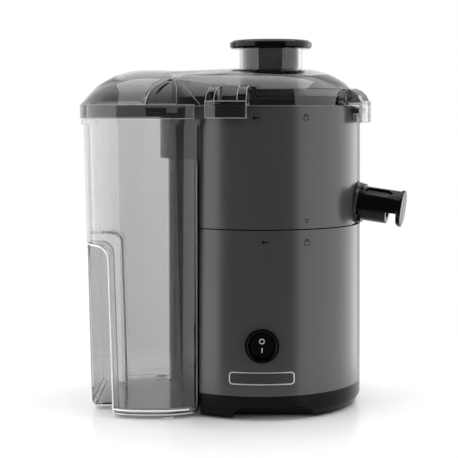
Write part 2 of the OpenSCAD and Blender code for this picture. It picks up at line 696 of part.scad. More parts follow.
module rotor_windings() color([0.72, 0.36, 0.18]) at_frame() difference() {
    union() {
        rotate_extrude() polygon([[0, stack_low - 8], [12, stack_low - 8], [19, stack_low - 4], [20,
            stack_low], [0, stack_low]]);
        rotate_extrude() polygon([[0, stack_top], [20, stack_top], [19, stack_top + 4], [11, stack_top +
            8], [0, stack_top + 8]]);
        for (a = [0 : 30 : 330]) rotate([0, 0, a]) box(15 + pin_gap, 20.6, -1.5, 1.5, stack_low - 3,
            stack_top + 3);
    }
    disc(shaft_r + pin_gap, 0, far);
}

module commutator() color([0.75, 0.45, 0.25]) at_frame() difference() {
    union() {
        disc(comm_r, stack_top + 8, 128);
        disc(12, stack_top + 8, stack_top + 10.5);
    }
    disc(shaft_r + pin_gap, 0, far);
    for (a = [0 : 22.5 : 337.5]) rotate([0, 0, a]) box(9, 13, -0.3, 0.3, stack_top + 8.5, far);
}

module motor_shaft() color([0.7, 0.7, 0.72]) at_frame() rotate_extrude()
    polygon([[0, 31], [shaft_r - 0.6, 31], [shaft_r, 31.6], [shaft_r, 189], [0, 189]]);

module brush_holders() color([0.6, 0.5, 0.3]) at_frame() for (a = [0, 180]) rotate([0, 0, a]) difference() {
    box(-5, 5, -35, -12, 118.5, bracket_low);
    box(-3.1, 3.1, -33, -5, 120.4, 126.6);
}

module carbon_brushes() color([0.15, 0.15, 0.16]) at_frame() for (a = [0, 180]) rotate([0, 0, a])
    difference() {
    box(-3.1 + pin_gap, 3.1 - pin_gap, -27, -8, 120.4, 126.6 - pin_gap);
    disc(comm_r + run_gap, 0, far);
}

module upper_bracket() color([0.6, 0.6, 0.62]) at_frame() difference() {
    union() {
        box(-8, 8, -38, 38, bracket_low, bracket_top);
        for (a = [45, 135]) rotate([0, 0, a]) box(-45, 45, -5, 5, bracket_low, bracket_top - 0.4);
        disc(15, bracket_low, bracket_top + 7);
        for (x = [-post_p, post_p], y = [-post_p, post_p]) translate([x, y, 0]) disc(5.5, stack_top,
            bracket_top);
    }
    disc(11 + pin_gap, bracket_low + 3, far);
    disc(7, 0, far);
    for (x = [-post_p, post_p], y = [-post_p, post_p]) translate([x, y, 0]) disc(2.3, 0, far);
}

module lower_bracket() color([0.6, 0.6, 0.62]) at_frame() difference() {
    union() {
        for (a = [45, 135]) rotate([0, 0, a]) box(-45, 45, -5, 5, 56.2, 60);
        disc(15, 49, 60.6);
        for (x = [-post_p, post_p], y = [-post_p, post_p]) translate([x, y, 0]) disc(5.5, 56, stack_low);
    }
    disc(11 + pin_gap, 50, 57);
    disc(7, 0, far);
    for (x = [-post_p, post_p], y = [-post_p, post_p]) translate([x, y, 0]) disc(2.3, 0, far);
}

module bearings() color([0.75, 0.75, 0.76]) at_frame() for (z = [50, bracket_low + 3]) difference() {
    ring(11, shaft_r + run_gap, z, z + 7);
    ring(9, 6.4, z - 1, z + 0.8);
    ring(9, 6.4, z + 6.2, z + 8);
}

module cooling_fan() color([0.2, 0.2, 0.2]) at_frame() difference() {
    union() {
        disc(fan_r, 44.5, 46);
        disc(9, 33, 46);
        for (a = [0 : 36 : 324]) rotate([0, 0, a]) translate([8, 0, 0]) rotate([0, 0, 18]) box(0, 25,
            -0.8, 0.8, 34, 45);
    }
    disc(shaft_r + pin_gap, 0, far);
}

module rubber_mounts() color([0.08, 0.08, 0.08]) at_frame() for (x = [-post_p, post_p], y = [-post_p, post_p])
    translate([x, y, 0]) ring(6, 2.3, bracket_top, 141);

module motor_screws() color([0.7, 0.7, 0.7]) at_frame() for (x = [-post_p, post_p], y = [-post_p,
    post_p]) translate([x, y, 0])
    difference() {
        union() {
            disc(4.2, 53, 56);
            disc(1.9 - pin_gap, 55, 147);
        }
        box(-3, 3, -0.5, 0.5, 52, 54.2);
    }

module drive_coupling() color([0.5, 0.5, 0.5]) at_frame() difference() {
    union() {
        disc(9, 174, 181);
        translate([0, 0, 180]) cylinder(r = 8, h = coupling_top - 180, $fn = 6);
    }
    disc(shaft_r + pin_gap, 160, 189);
}

module shaft_seal() color([0.1, 0.1, 0.1]) at_frame() difference() {
    union() {
        disc(14 - pin_gap, deck_low, split_z + 3);
        disc(9, split_z, split_z + 6);
    }
    disc(shaft_r + run_gap, 0, far);
    ring(11, 6.5, deck_low - 1, split_z);
}

module microswitch() color([0.1, 0.1, 0.1]) at_frame() polar(pin_angle, 67) {
    box(-6, 6, -13, 4, 126, 137);
    box(-5, 5, 4, 6.6, 126, deck_low);
    translate([0, pin_radius > 67 ? -pin_radius + 67 : 0, 0]) disc(1.6, 136, 138.5);
}

module gland_at() translate([0, gland_out, gland_z]) rotate([-90, 0, 0]) children();

module cord_gland() color([0.08, 0.08, 0.08]) at_frame() difference() {
    union() {
        gland_at() translate([0, 0, body_r - 8.5]) cylinder(r = 6.5 - pin_gap, h = 11);
        difference() {
            gland_at() translate([0, 0, body_r - 4.5]) cylinder(r = 9, h = 7.4);
            round_wall(0, plinth_top, split_z);
        }
        gland_at() translate([0, 0, body_r - 9.7]) cylinder(r = 8.2, h = 3);
    }
    gland_at() translate([0, 0, body_r - 16.5]) cylinder(r = 3.6, h = 30);
}

food_pusher();
cover();
grater_disc();
filter_basket();
basket_rim();
basket_hub();
bowl();
spout();
spout_oring();
lock_rod();
lock_spring();
pulp_container();
housing();
plinth();
feet();
base_screws();
switch_bezel();
switch_rocker();
switch_body();
badge_plate();
motor_stack();
field_coils();
armature();
rotor_windings();
commutator();
motor_shaft();
brush_holders();
carbon_brushes();
upper_bracket();
lower_bracket();
bearings();
cooling_fan();
rubber_mounts();
motor_screws();
drive_coupling();
shaft_seal();
microswitch();
cord_gland();
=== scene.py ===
import json
import math

import bmesh
import bpy
from bpy.props import FloatProperty, FloatVectorProperty, IntProperty, PointerProperty
from bpy.types import Operator, Panel, PropertyGroup
from mathutils import Matrix, Vector
from mathutils.bvhtree import BVHTree


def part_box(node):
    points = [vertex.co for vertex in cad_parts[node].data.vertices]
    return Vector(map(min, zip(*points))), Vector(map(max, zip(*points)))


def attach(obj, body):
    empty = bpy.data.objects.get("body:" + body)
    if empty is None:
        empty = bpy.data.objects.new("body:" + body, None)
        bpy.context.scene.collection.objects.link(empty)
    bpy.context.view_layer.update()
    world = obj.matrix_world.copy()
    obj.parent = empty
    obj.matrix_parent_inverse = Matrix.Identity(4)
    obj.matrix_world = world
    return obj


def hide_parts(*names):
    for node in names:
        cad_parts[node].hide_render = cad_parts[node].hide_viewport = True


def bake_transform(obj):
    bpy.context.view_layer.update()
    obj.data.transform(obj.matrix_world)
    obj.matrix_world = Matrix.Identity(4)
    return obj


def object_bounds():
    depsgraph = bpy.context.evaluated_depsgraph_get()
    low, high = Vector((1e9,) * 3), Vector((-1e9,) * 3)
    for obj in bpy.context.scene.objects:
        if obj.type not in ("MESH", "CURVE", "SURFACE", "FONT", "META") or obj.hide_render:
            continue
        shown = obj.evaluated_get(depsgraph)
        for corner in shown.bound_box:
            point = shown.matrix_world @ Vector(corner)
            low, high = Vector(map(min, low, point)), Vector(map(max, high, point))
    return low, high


bl_info = {
    "name": "Centrifugal juicer",
    "version": (1, 0, 0),
    "blender": (4, 5, 0),
    "location": "View3D > Sidebar > Juicer",
    "description": "Dresses the juicer's solids with clear covers, sieve mesh, marks and finishes",
    "category": "Object",
}

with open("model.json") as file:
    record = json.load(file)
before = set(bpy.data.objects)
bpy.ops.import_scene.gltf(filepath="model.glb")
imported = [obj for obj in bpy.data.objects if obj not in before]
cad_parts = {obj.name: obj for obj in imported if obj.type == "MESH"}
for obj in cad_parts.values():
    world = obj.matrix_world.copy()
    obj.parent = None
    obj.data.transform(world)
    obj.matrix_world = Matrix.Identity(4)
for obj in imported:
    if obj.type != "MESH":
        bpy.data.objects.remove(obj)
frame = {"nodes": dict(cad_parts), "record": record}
NODES = frame["nodes"]
CAD_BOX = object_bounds()
NODE_SLOT = {entry["node"]: entry["material_slot"] for entry in frame["record"]["subparts"]}
NODE_BODY = {
    node: body for body, members in frame["record"]["behaviour"]["bodies"].items() for node in members
}

# Outer wall of base and bowl: its radius at the rim and at the plinth. The machine's axis stands off the
# middle of the frame by SHIFT_X, and the feet raise every height that is measured from the plinth by UP.
HOUSE_LOW, HOUSE_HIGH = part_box("housing")
BODY_R = 0.0845
BASE_R = 0.0864
UP = 0.002
RIM_Z = 0.250 + UP
SPLIT_Z = 0.1525 + UP
LEDGE_Z = 0.207 + UP
PLINTH_Z = HOUSE_LOW.z
SHIFT_X = HOUSE_HIGH.x - BASE_R

# Upright cylinder that hollows the body for the pulp container.
RECESS_R = 0.146
RECESS_AXIS = Vector((SHIFT_X - 0.1936, -0.0415, 0))


def wall_r(z):
    """Radius of the slightly flared outer wall at a height."""
    return BODY_R + (BASE_R - BODY_R) * (RIM_Z - z) / (RIM_Z - PLINTH_Z)


class JuicerSizes(PropertyGroup):
    """Sizes of the parts that dress the solids"""
    tooth_rings: IntProperty(
        name="Tooth rings", description="Rings of teeth on the grater disc", default=9, min=3, max=12)
    teeth_per_ring: IntProperty(
        name="Teeth per ring", description="Teeth in each ring", default=36, min=12, max=60)
    tooth_height: FloatProperty(
        name="Tooth height", description="Height of a grater tooth", default=0.0019, unit="LENGTH")
    sieve_round: IntProperty(
        name="Sieve cells round", description="Mesh cells round the sieve", default=150, min=60, max=200)
    sieve_rows: IntProperty(
        name="Sieve cell rows", description="Mesh cells up the sieve", default=26, min=10, max=40)
    edge_round: FloatProperty(
        name="Edge round", description="Rounding on moulded edges", default=0.00035, unit="LENGTH")
    mark_depth: FloatProperty(
        name="Mark thickness", description="Thickness of the printed marks", default=0.00006, unit="LENGTH")


def colour_property(name, description, default):
    return FloatVectorProperty(name=name, description=description, subtype="COLOR", size=3, default=default)


class JuicerColours(PropertyGroup):
    """Colours of the finishes"""
    body: colour_property("Body", "Grey of base and bowl", (0.047, 0.043, 0.042))
    black: colour_property("Black", "Pusher, spout and switch", (0.003, 0.003, 0.0033))
    plinth: colour_property("Plinth", "Satin black of plinth and trims", (0.0025, 0.0025, 0.0026))
    cover: colour_property("Cover smoke", "Tint of the clear cover", (0.39, 0.38, 0.38))
    container: colour_property("Container smoke", "Tint of the clear container", (0.72, 0.71, 0.71))
    mark: colour_property("Marks", "Printed lock marks", (0.004, 0.004, 0.004))
    switch_mark: colour_property("Switch marks", "On and off marks", (0.62, 0.62, 0.61))


# ---------------------------------------------------------------- materials

def new_node(nodes, kind, **values):
    """A node with some of its inputs set; an underscore in a keyword stands for a blank in the label."""
    node = nodes.new(kind)
    for label, value in values.items():
        node.inputs[label.replace("_", " ")].default_value = value
    return node


def colour_mix(nodes, links, factor, one, two):
    """The Mix node between two colours, each given as a colour or as a socket."""
    mix = nodes.new("ShaderNodeMix")
    mix.data_type = "RGBA"
    links.new(factor, mix.inputs["Factor"])
    for label, value in (("A", one), ("B", two)):
        if isinstance(value, bpy.types.NodeSocket):
            links.new(value, mix.inputs[label])
        else:
            mix.inputs[label].default_value = list(value) + [1]
    return mix.outputs["Result"]


def scaled(colour, factor, most=1.0):
    return [min(c * factor, most) for c in colour]


def fine_grain_group():
    """Fine moulded grain: a height and a slow roughness drift over the piece."""
    if "Fine grain" in bpy.data.node_groups:
        return bpy.data.node_groups["Fine grain"]
    group = bpy.data.node_groups.new("Fine grain", "ShaderNodeTree")
    for label, default in (("Grain size", 900.0), ("Roughness low", 0.3), ("Roughness high", 0.4)):
        socket = group.interface.new_socket(name=label, in_out="INPUT", socket_type="NodeSocketFloat")
        socket.default_value = default
    for label in ("Height", "Roughness", "Drift"):
        group.interface.new_socket(name=label, in_out="OUTPUT", socket_type="NodeSocketFloat")
    links, nodes = group.links, group.nodes
    given = nodes.new("NodeGroupInput")
    result = nodes.new("NodeGroupOutput")
    coord = nodes.new("ShaderNodeTexCoord")
    grain = new_node(nodes, "ShaderNodeTexNoise", Detail=3.0)
    links.new(coord.outputs["Object"], grain.inputs["Vector"])
    links.new(given.outputs["Grain size"], grain.inputs["Scale"])
    drift = new_node(nodes, "ShaderNodeTexNoise", Scale=14.0, Detail=2.0)
    links.new(coord.outputs["Object"], drift.inputs["Vector"])
    span = new_node(nodes, "ShaderNodeMapRange", From_Min=0.15, From_Max=0.85)
    span.interpolation_type = "SMOOTHSTEP"
    links.new(drift.outputs["Fac"], span.inputs["Value"])
    links.new(given.outputs["Roughness low"], span.inputs["To Min"])
    links.new(given.outputs["Roughness high"], span.inputs["To Max"])
    links.new(grain.outputs["Fac"], result.inputs["Height"])
    links.new(span.outputs["Result"], result.inputs["Roughness"])
    links.new(drift.outputs["Fac"], result.inputs["Drift"])
    return group


def fine_grain(nodes, size, low, high):
    """The grain group with its size and its range of roughness."""
    fine = nodes.new("ShaderNodeGroup")
    fine.node_tree = fine_grain_group()
    for label, value in (("Grain size", size), ("Roughness low", low), ("Roughness high", high)):
        fine.inputs[label].default_value = value
    return fine


def principled(name):
    mat = bpy.data.materials.new(name)
    mat.use_nodes = True
    nodes = mat.node_tree.nodes
    return mat, nodes, mat.node_tree.links, nodes["Principled BSDF"]


def tinted(nodes, links, drift, colour, spread):
    """Colour that drifts a little, up and down, from the one given."""
    paler, deeper = ([c * (1 + step) for c in colour] for step in (spread, -spread))
    return colour_mix(nodes, links, drift, deeper, paler)


def relief(nodes, links, height, strength, distance, bsdf):
    bump = new_node(nodes, "ShaderNodeBump", Strength=strength, Distance=distance)
    links.new(height, bump.inputs["Height"])
    links.new(bump.outputs["Normal"], bsdf.inputs["Normal"])


def moulded(name, colour, rough, grain=900.0, bump=0.05, spread=0.1, shine=0.5):
    """Moulded plastic or rubber with a fine grain."""
    mat, nodes, links, bsdf = principled(name)
    fine = fine_grain(nodes, grain, rough * 0.9, rough * 1.12)
    links.new(tinted(nodes, links, fine.outputs["Drift"], colour, spread), bsdf.inputs["Base Color"])
    links.new(fine.outputs["Roughness"], bsdf.inputs["Roughness"])
    relief(nodes, links, fine.outputs["Height"], bump, 0.0003, bsdf)
    bsdf.inputs["Specular IOR Level"].default_value = shine
    return mat


def clear_smoke(name, colour, rim, low, high, shine=0.5, foot=0.9, head=1.0):
    """Clear smoked plastic with painted light. Its tint goes from foot to head times the colour between two
    heights, painted shade low down and a painted highlight high up, and turns to the rim's tint where the
    wall is seen edge on, a painted highlight where the rim is paler and painted shade where it is darker."""
    mat, nodes, links, bsdf = principled(name)
    fine = fine_grain(nodes, 30.0, 0.01, 0.03)
    coord = nodes.new("ShaderNodeTexCoord")
    split = nodes.new("ShaderNodeSeparateXYZ")
    links.new(coord.outputs["Object"], split.inputs[0])
    level = new_node(nodes, "ShaderNodeMapRange", From_Min=low, From_Max=high)
    links.new(split.outputs["Z"], level.inputs["Value"])
    height = colour_mix(nodes, links, level.outputs["Result"], scaled(colour, foot), scaled(colour, head))
    facing = new_node(nodes, "ShaderNodeLayerWeight", Blend=0.25)
    edge = colour_mix(nodes, links, facing.outputs["Facing"], height, rim)
    links.new(edge, bsdf.inputs["Base Color"])
    links.new(fine.outputs["Roughness"], bsdf.inputs["Roughness"])
    bsdf.inputs["Transmission Weight"].default_value = 1.0
    bsdf.inputs["IOR"].default_value = 1.46
    bsdf.inputs["Specular IOR Level"].default_value = shine
    return mat


def edge_highlight(name, colour, through):
    """Painted highlight on the rounded edge of a clear moulding, standing in for the light it gathers."""
    mat, nodes, links, bsdf = principled(name)
    fine = fine_grain(nodes, 900.0, 0.1, 0.2)
    links.new(tinted(nodes, links, fine.outputs["Drift"], colour, 0.05), bsdf.inputs["Base Color"])
    links.new(fine.outputs["Roughness"], bsdf.inputs["Roughness"])
    bsdf.inputs["Transmission Weight"].default_value = through
    bsdf.inputs["IOR"].default_value = 1.12
    return mat


def metal(name, colour, rough, streaks=(1.0, 1.0, 1.0), scale=60.0, bump=0.03):
    """Bare metal; streaks stretch its noise along an axis, as rolling, winding or turning does."""
    mat, nodes, links, bsdf = principled(name)
    coord = nodes.new("ShaderNodeTexCoord")
    mapping = new_node(nodes, "ShaderNodeMapping", Scale=streaks)
    noise = new_node(nodes, "ShaderNodeTexNoise", Scale=scale, Detail=4.0)
    links.new(coord.outputs["Object"], mapping.inputs["Vector"])
    links.new(mapping.outputs["Vector"], noise.inputs["Vector"])
    span = new_node(nodes, "ShaderNodeMapRange", To_Min=rough * 0.8, To_Max=rough * 1.25)
    links.new(noise.outputs["Fac"], span.inputs["Value"])
    links.new(span.outputs["Result"], bsdf.inputs["Roughness"])
    links.new(tinted(nodes, links, noise.outputs["Fac"], colour, 0.1), bsdf.inputs["Base Color"])
    bsdf.inputs["Metallic"].default_value = 1.0
    relief(nodes, links, noise.outputs["Fac"], bump, 0.0002, bsdf)
    return mat


def clear_materials(cover, container):
    """Smoked cover and container, their walls with painted shade and their edges with a painted highlight."""
    # The arch walls take the cover's tint at 0.3 times as painted shade.
    deep = scaled(cover, 0.3)
    return {
        # The paler rims and the height ramps of cover and container are painted highlight and painted shade.
        "smoke_clear": clear_smoke(
            "Smoked cover", cover, scaled(cover, 1.5), 0.258, 0.283, foot=0.62, head=1.75),
        "arch_wall_shade": clear_smoke("Smoked cover, painted shade on the walls of the side arches", deep, deep, 0.2, 0.3),
        "container_clear": clear_smoke(
            "Smoked container", container, scaled(container, 1.3, 0.97), 0.0, 0.24),
        # The darker tint on the container's side next to the body is painted shade in the gap between them.
        "container_shade": clear_smoke(
            "Smoked container, side next to the body",
            scaled(container, 0.42), scaled(container, 0.2), 0.0, 0.24, shine=0.04),
        "edge_highlight": edge_highlight("Painted highlight on edges of clear plastic", (0.98, 0.98, 0.98), 0.05),
        "smoke_edge_highlight": edge_highlight("Painted highlight on edges of smoked plastic", (0.72, 0.71, 0.71), 0.4),
    }


def moulded_materials(body, black, plinth, mark, switch_mark):
    """Solid plastics, rubber, carbon and printed marks."""
    return {
        "black_gloss": moulded("Gloss black", black, 0.1, 300.0, 0.01, shine=0.16),
        "black_satin": moulded("Satin black", plinth, 0.17, 1200.0, 0.04, shine=0.1),
        "grey_plastic": moulded("Warm grey", body, 0.23, 1400.0, 0.03, spread=0.04),
        # The recess wall takes the body's grey at 0.8 times as painted shade, with a matt finish.
        "grey_recess_shade": moulded(
            "Warm grey, matt recess with painted shade", scaled(body, 0.8), 0.75, 1400.0, 0.1, spread=0.04, shine=0.05),
        # Near black in the parting groove is painted shade.
        "groove": moulded("Painted shade in the parting groove", (0.001, 0.001, 0.001), 0.8, 1400.0, shine=0.0),
        "rubber": moulded("Black rubber", (0.012, 0.012, 0.012), 0.7, 1500.0, 0.2),
        "white_plastic": moulded("Natural white", (0.66, 0.65, 0.61), 0.4),
        "plate_field": moulded("Dark field of the plate", (0.02, 0.019, 0.019), 0.4, 1500.0, 0.12),
        "carbon": moulded("Pressed carbon", (0.02, 0.02, 0.021), 0.6),
        "mark": moulded("Lock mark ink", mark, 0.6, shine=0.03),
        "switch_mark": moulded("Switch mark ink", switch_mark, 0.45),
    }


def metal_materials():
    """Sheet, ground, cast, wound and drawn metals."""
    return {
        "steel": metal("Sieve steel", (0.62, 0.62, 0.63), 0.28, (1, 1, 8)),
        "spring_steel": metal("Ground steel", (0.55, 0.55, 0.56), 0.22),
        "zinc": metal("Zinc plate", (0.5, 0.51, 0.53), 0.35),
        "silver": metal("Blank silver plate", (0.74, 0.74, 0.73), 0.38, (1, 1, 12), 90.0, 0.05),
        "stack_steel": metal("Laminations", (0.2, 0.2, 0.21), 0.5, (1, 1, 40), 60.0, 0.6),
        "copper": metal("Winding copper", (0.6, 0.24, 0.09), 0.35, (1, 1, 30), 80.0, 0.8),
        "copper_bare": metal("Bare copper", (0.72, 0.36, 0.2), 0.3),
        "brass": metal("Drawn brass", (0.6, 0.44, 0.18), 0.3),
        "cast_alloy": metal("Cast alloy", (0.45, 0.46, 0.47), 0.5, (1, 1, 1), 200.0, 0.25),
    }


def make_materials(colours):
    materials = clear_materials(tuple(colours.cover), tuple(colours.container))
    materials.update(moulded_materials(*(
        tuple(getattr(colours, name)) for name in ("body", "black", "plinth", "mark", "switch_mark"))))
    materials.update(metal_materials())
    return materials


MATERIALS = {}

# Angle under which a six-sided rod or wire shades as round, and the steps of a turned piece.
ROD_SMOOTH = 61.0
LATHE_STEPS = 96


# ---------------------------------------------------------------- mesh helpers

def put(name, mesh, body, slot, material=None):
    piece = bpy.data.objects.new(name, mesh)
    bpy.context.scene.collection.objects.link(piece)
    mesh.materials.clear()
    mesh.materials.append(material or MATERIALS[slot])
    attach(piece, body)
    return piece


def shade_by_angle(mesh, degrees):
    bm = bmesh.new()
    bm.from_mesh(mesh)
    limit = math.radians(degrees)
    for face in bm.faces:
        face.smooth = True
    for edge in bm.edges:
        edge.smooth = len(edge.link_faces) == 2 and edge.calc_face_angle(0.0) < limit
    bm.to_mesh(mesh)
    bm.free()


def finished(bm, name, degrees=None):
    """The mesh of a bmesh, faces outward, with edges flatter than the angle shaded smooth."""
    bmesh.ops.recalc_face_normals(bm, faces=bm.faces)
    mesh = bpy.data.meshes.new(name)
    bm.to_mesh(mesh)
    bm.free()
    if degrees is not None:
        shade_by_angle(mesh, degrees)
    return mesh


def baked(piece):
    """Applies a piece's modifiers and leaves a plain mesh without them."""
    deps = bpy.context.evaluated_depsgraph_get()
    mesh = bpy.data.meshes.new_from_object(
        piece.evaluated_get(deps), preserve_all_data_layers=False, depsgraph=deps)
    piece.modifiers.clear()
    piece.data = mesh
    return piece


def welded(node):
    """A bmesh of a solid with its doubled corners joined."""
    bm = bmesh.new()
    bm.from_mesh(NODES[node].data)
    bmesh.ops.remove_doubles(bm, verts=bm.verts, dist=2e-6)
    return bm


def skin_object(node, mesh):
    """A new object that holds the mesh and stands for a solid."""
    piece = bpy.data.objects.new(node + "_skin", mesh)
    bpy.context.scene.collection.objects.link(piece)
    return piece


def smooth_copy(node, degrees=32.0, edge=0.0, zones=(), main=None):
    """A joined, smooth-shaded copy that stands for a solid. Zones are (test, material) pairs for faces."""
    mesh = NODES[node].data.copy()
    bm = welded(node)
    bmesh.ops.dissolve_degenerate(bm, edges=bm.edges, dist=1e-6)
    bm.to_mesh(mesh)
    bm.free()
    mesh.materials.clear()
    for material in [main or MATERIALS[NODE_SLOT[node]]] + [material for test, material in zones]:
        mesh.materials.append(material)
    for face in mesh.polygons:
        face.material_index = 0
        for number, (test, material) in enumerate(zones, start=1):
            if test(face.center, face.normal):
                face.material_index = number
    piece = skin_object(node, mesh)
    if edge > 0:
        mod = piece.modifiers.new("edges", "BEVEL")
        mod.width = edge
        mod.segments = 2
        mod.limit_method = "ANGLE"
        mod.angle_limit = math.radians(40)
        mod.harden_normals = False
        baked(piece)
    shade_by_angle(piece.data, degrees)
    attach(piece, NODE_BODY[node])
    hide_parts(node)
    return piece


def held_inside(point):
    """The point, moved back onto the box of the solids where it would stand out of it."""
    low, high = CAD_BOX
    return Vector([min(max(value, start), stop) for value, start, stop in zip(point, low, high)])


def closed_prism(bm, low, high):
    """Two caps and the sides between them, from two rows of corners."""
    bm.faces.new(high)
    bm.faces.new(low[::-1])
    for i in range(len(low)):
        j = (i + 1) % len(low)
        bm.faces.new((low[i], low[j], high[j], high[i]))


def rod(bm, one, two, outward, radius, sunk, past):
    """A six-sided rod between two points of a surface, sunk into it and a little longer than the gap."""
    along = (two - one).normalized()
    side = along.cross(outward).normalized()
    rings = []
    for end, sign in ((one, -1), (two, 1)):
        centre = end - outward * sunk + along * sign * past
        turns = [math.radians(60 * k) for k in range(6)]
        rings.append([
            bm.verts.new(held_inside(centre + radius * (outward * math.cos(turn) + side * math.sin(turn))))
            for turn in turns])
    closed_prism(bm, rings[0], rings[1])


def edge_rods(name, node, degrees, radius, material, test):
    """Thin rods with a painted highlight along the sharp outer edges of a clear moulding, mostly sunk into
    it.
    """
    source = welded(node)
    bm = bmesh.new()
    for edge in source.edges:
        if len(edge.link_faces) != 2 or not edge.is_convex or edge.calc_length() < 0.0002:
            continue
        if edge.calc_face_angle(0.0) < math.radians(degrees):
            continue
        outward = (edge.link_faces[0].normal + edge.link_faces[1].normal).normalized()
        one, two = edge.verts[0].co, edge.verts[1].co
        if test((one + two) / 2, outward):
            rod(bm, one, two, outward, radius, radius * 0.6, radius * 0.2)
    source.free()
    return put(name, finished(bm, name, ROD_SMOOTH), NODE_BODY[node], NODE_SLOT[node], material)


def round_about(angle, radius, z):
    """A point at an angle from the front, towards the spout side, about the machine axis."""
    return Vector((SHIFT_X + radius * math.sin(angle), -radius * math.cos(angle), z))


def prisms(name, shapes, place, thick, body, slot, material):
    """Thin closed prisms from flat convex outlines in millimetres; place maps (u, v, lift) to a point."""
    bm = bmesh.new()
    for shape in shapes:
        low, high = (
            [bm.verts.new(place(u / 1000, v / 1000, lift)) for u, v in shape] for lift in (0.0, thick))
        closed_prism(bm, low, high)
    return put(name, finished(bm, name), body, slot, material)


def strip(points, width):
    """Quads of a line of even width."""
    left, right = [], []
    for i, (x, y) in enumerate(points):
        ax, ay = points[max(i - 1, 0)]
        bx, by = points[min(i + 1, len(points) - 1)]
        length = math.hypot(bx - ax, by - ay)
        nx, ny = -(by - ay) / length * width / 2, (bx - ax) / length * width / 2
        left.append((x + nx, y + ny))
        right.append((x - nx, y - ny))
    return [[right[i], right[i + 1], left[i + 1], left[i]] for i in range(len(points) - 1)]


def arc(cx, cy, radius, start, stop, steps):
    """Points of an arc, with its angles in degrees."""
    turns = [math.radians(start + (stop - start) * i / steps) for i in range(steps + 1)]
    return [(cx + radius * math.cos(turn), cy + radius * math.sin(turn)) for turn in turns]


def on_wall(angle, z):
    """Places a flat outline on the body's wall, round a point given by angle and height."""
    middle = math.radians(angle)
    return lambda u, v, lift: round_about(middle + u / BODY_R, wall_r(z + v) + lift, z + v)


def lathe(name, profiles, degrees):
    """Rings or solids of revolution round the axis, each from (radius, height) points in millimetres."""
    bm = bmesh.new()
    for profile in profiles:
        rows = []
        for radius, z in profile:
            height = z / 1000 + UP
            if radius == 0:
                rows.append([bm.verts.new((SHIFT_X, 0, height))] * LATHE_STEPS)
            else:
                rows.append([
                    bm.verts.new(round_about(2 * math.pi * k / LATHE_STEPS, radius / 1000, height))
                    for k in range(LATHE_STEPS)])
        for i, one in enumerate(rows):
            two = rows[(i + 1) % len(rows)]
            if one[0] is one[1] and two[0] is two[1]:
                continue
            for k in range(LATHE_STEPS):
                n = (k + 1) % LATHE_STEPS
                corners = dict.fromkeys((one[k], one[n], two[n], two[k]))
                bm.faces.new(list(corners))
    return finished(bm, name, degrees)


def dress_node(node):
    obj = NODES[node]
    obj.data.materials.clear()
    obj.data.materials.append(MATERIALS[NODE_SLOT[node]])


def bending_spring():
    """The lock spring, as a smooth-shaded copy of its solid with its place baked into the mesh; the real
    spring shortens between its seat in the bowl and the collar of the rod.
    """
    mesh = NODES["lock_spring"].data.copy()
    mesh.materials.clear()
    mesh.materials.append(MATERIALS[NODE_SLOT["lock_spring"]])
    shade_by_angle(mesh, ROD_SMOOTH)
    piece = skin_object("lock_spring", mesh)
    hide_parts("lock_spring")
    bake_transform(piece)


# ---------------------------------------------------------------- stage

def area_lamp(name, place, target, size, size_y, power):
    lamp = bpy.data.lights.new(name, "AREA")
    lamp.shape = "RECTANGLE"
    lamp.size = size
    lamp.size_y = size_y
    lamp.energy = power
    obj = bpy.data.objects.new(name, lamp)
    bpy.context.scene.collection.objects.link(obj)
    obj.location = place
    obj.rotation_euler = (Vector(target) - Vector(place)).to_track_quat("-Z", "Y").to_euler()
    obj.visible_camera = False
    obj.visible_transmission = False
    return obj


def shader_mix(nodes, links, factor, one, two):
    mix = nodes.new("ShaderNodeMixShader")
    for slot, socket in enumerate((factor, one, two)):
        links.new(socket, mix.inputs[slot])
    return mix.outputs[0]


def make_world(scene):
    """White seen directly and through clear parts; for gloss, white behind and dark in front."""
    world = bpy.data.worlds.new("Studio")
    scene.world = world
    world.use_nodes = True
    nodes, links = world.node_tree.nodes, world.node_tree.links
    nodes.clear()
    out = nodes.new("ShaderNodeOutputWorld")
    path = nodes.new("ShaderNodeLightPath")
    coord = nodes.new("ShaderNodeTexCoord")
    split = nodes.new("ShaderNodeSeparateXYZ")
    links.new(coord.outputs["Generated"], split.inputs[0])
    depth = new_node(nodes, "ShaderNodeMapRange", From_Min=0.1, From_Max=0.75, To_Min=0.04, To_Max=0.95)
    depth.interpolation_type = "SMOOTHSTEP"
    links.new(split.outputs["Y"], depth.inputs["Value"])
    gloss = new_node(nodes, "ShaderNodeBackground", Color=(1, 1, 1, 1))
    links.new(depth.outputs["Result"], gloss.inputs["Strength"])
    white = new_node(nodes, "ShaderNodeBackground", Color=(1, 1, 1, 1), Strength=1.0)
    soft = new_node(nodes, "ShaderNodeBackground", Color=(1, 1, 1, 1), Strength=0.5)
    inner = shader_mix(nodes, links, path.outputs["Is Glossy Ray"], soft.outputs[0], gloss.outputs[0])
    either = nodes.new("ShaderNodeMath")
    either.operation = "MAXIMUM"
    links.new(path.outputs["Is Camera Ray"], either.inputs[0])
    links.new(path.outputs["Is Transmission Ray"], either.inputs[1])
    links.new(shader_mix(nodes, links, either.outputs[0], inner, white.outputs[0]), out.inputs["Surface"])


